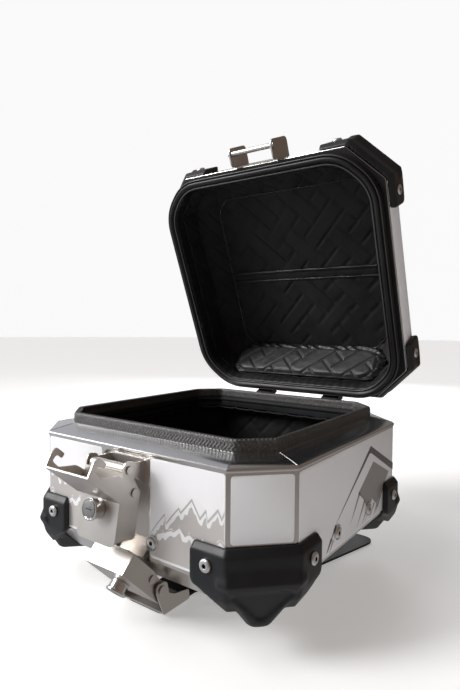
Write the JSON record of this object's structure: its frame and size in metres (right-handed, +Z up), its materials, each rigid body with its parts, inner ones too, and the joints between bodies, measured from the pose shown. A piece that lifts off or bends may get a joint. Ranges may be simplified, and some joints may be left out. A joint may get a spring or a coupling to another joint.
{
  "type": "motorcycle top case",
  "caption": "Square aluminium motorcycle top case with cut corners, hinged padded lid, draw latches with key locks and a quick-release base plate.",
  "frame": {"origin": "middle of the plate's flat underside, where it bolts down to a luggage rack", "axes": "+X to the right seen from the latch side, +Y from the latch side to the hinge side, +Z up"},
  "size_m": [0.4146, 0.5707, 0.6258],
  "materials": {
    "body_aluminium": "satin sheet with bright edges",
    "rim_aluminium": "satin extrusion with mirror edge",
    "moulded_black": "satin moulded, fine grain",
    "rubber_black": "ribbed matt rubber",
    "quilted_lining": "quilted nylon",
    "bolt_steel": "polished stainless button heads",
    "latch_steel": "brushed stainless sheet, polished edges",
    "lock_chrome": "bright plated",
    "hinge_black": "black powder coat",
    "hinge_steel": "ground",
    "plate_grey": "dark grey powder coat"
  },
  "bodies": {
    "case": {"base_shell": "body_aluminium", "base_rim": "rim_aluminium", "base_protector_front_left": "moulded_black", "base_protector_front_right": "moulded_black", "base_protector_rear_left": "moulded_black", "base_protector_rear_right": "moulded_black", "base_collar": "rubber_black", "support_rail_left": "rubber_black", "support_rail_right": "rubber_black", "base_liner": "quilted_lining", "base_bolt_front_left_x": "bolt_steel", "base_bolt_front_left_y": "bolt_steel", "base_bolt_front_right_x": "bolt_steel", "base_bolt_front_right_y": "bolt_steel", "base_bolt_rear_left_x": "bolt_steel", "base_bolt_rear_left_y": "bolt_steel", "base_bolt_rear_right_x": "bolt_steel", "base_bolt_rear_right_y": "bolt_steel", "latch_bracket": "latch_steel", "latch_pin": "latch_steel", "lower_pin": "latch_steel", "bottom_catch": "latch_steel", "lower_bracket": "latch_steel", "hinge_base_leaf_left": "hinge_black", "hinge_base_leaf_right": "hinge_black", "hinge_pin_left": "hinge_steel", "hinge_pin_right": "hinge_steel", "mount_plate": "plate_grey"},
    "lid": {"lid_shell": "body_aluminium", "lid_frame": "moulded_black", "lid_seal": "rubber_black", "lid_liner": "quilted_lining", "lid_pad": "quilted_lining", "striker_plate": "latch_steel", "striker_bar": "latch_steel", "hinge_lid_leaf_left": "hinge_black", "hinge_lid_leaf_right": "hinge_black", "lid_protector_front_left": "moulded_black", "lid_protector_front_right": "moulded_black", "lid_protector_rear_left": "moulded_black", "lid_protector_rear_right": "moulded_black", "lid_bolt_front_left_x": "bolt_steel", "lid_bolt_front_left_y": "bolt_steel", "lid_bolt_front_right_x": "bolt_steel", "lid_bolt_front_right_y": "bolt_steel", "lid_bolt_rear_left_x": "bolt_steel", "lid_bolt_rear_left_y": "bolt_steel", "lid_bolt_rear_right_x": "bolt_steel", "lid_bolt_rear_right_y": "bolt_steel"},
    "latch_cover": {"latch_cover": "latch_steel", "latch_lock_barrel": "lock_chrome", "latch_hook_pin": "latch_steel"},
    "latch_hook": {"latch_hook": "latch_steel"},
    "lock_plug": {"latch_lock_plug": "lock_chrome"},
    "lower_cover": {"lower_cover": "latch_steel", "lower_lock_barrel": "lock_chrome", "lower_hook_pin": "latch_steel"},
    "lower_hook": {"lower_hook": "latch_steel"},
    "lower_lock_plug": {"lower_lock_plug": "lock_chrome"}
  },
  "joints": [
    {"name": "lid_hinge", "type": "hinge", "parent": "case", "child": "lid", "pos_m": [0, 0.2065, 0.2065], "axis": [-1, 0, 0], "range_deg": [-67.6, 12]},
    {"name": "latch_cover_pivot", "type": "hinge", "parent": "case", "child": "latch_cover", "pos_m": [0, -0.2185, 0.184], "axis": [-1, 0, 0], "range_deg": [-10, 90]},
    {"name": "latch_hook_pivot", "type": "hinge", "parent": "latch_cover", "child": "latch_hook", "pos_m": [0, -0.2147, 0.15947], "axis": [1, 0, 0], "range_deg": [-57.6, 0]},
    {"name": "latch_lock_turn", "type": "hinge", "parent": "latch_cover", "child": "lock_plug", "pos_m": [0, -0.23419, 0.14107], "axis": [0, -0.9848, 0.1736], "range_deg": [0, 90]},
    {"name": "lower_cover_pivot", "type": "hinge", "parent": "case", "child": "lower_cover", "pos_m": [0, -0.1715, 0.034], "axis": [1, 0, 0], "range_deg": [0, 60]},
    {"name": "lower_hook_pivot", "type": "hinge", "parent": "lower_cover", "child": "lower_hook", "pos_m": [0, -0.18352, 0.05026], "axis": [1, 0, 0], "range_deg": [-33, 0]},
    {"name": "lower_lock_turn", "type": "hinge", "parent": "lower_cover", "child": "lower_lock_plug", "pos_m": [0, -0.20191, 0.04602], "axis": [0, -0.7071, -0.7071], "range_deg": [0, 90]}
  ],
  "couplings": [
    {"joint": "lower_hook_pivot", "follows": "lower_cover_pivot", "ratio": -0.55}
  ]
}
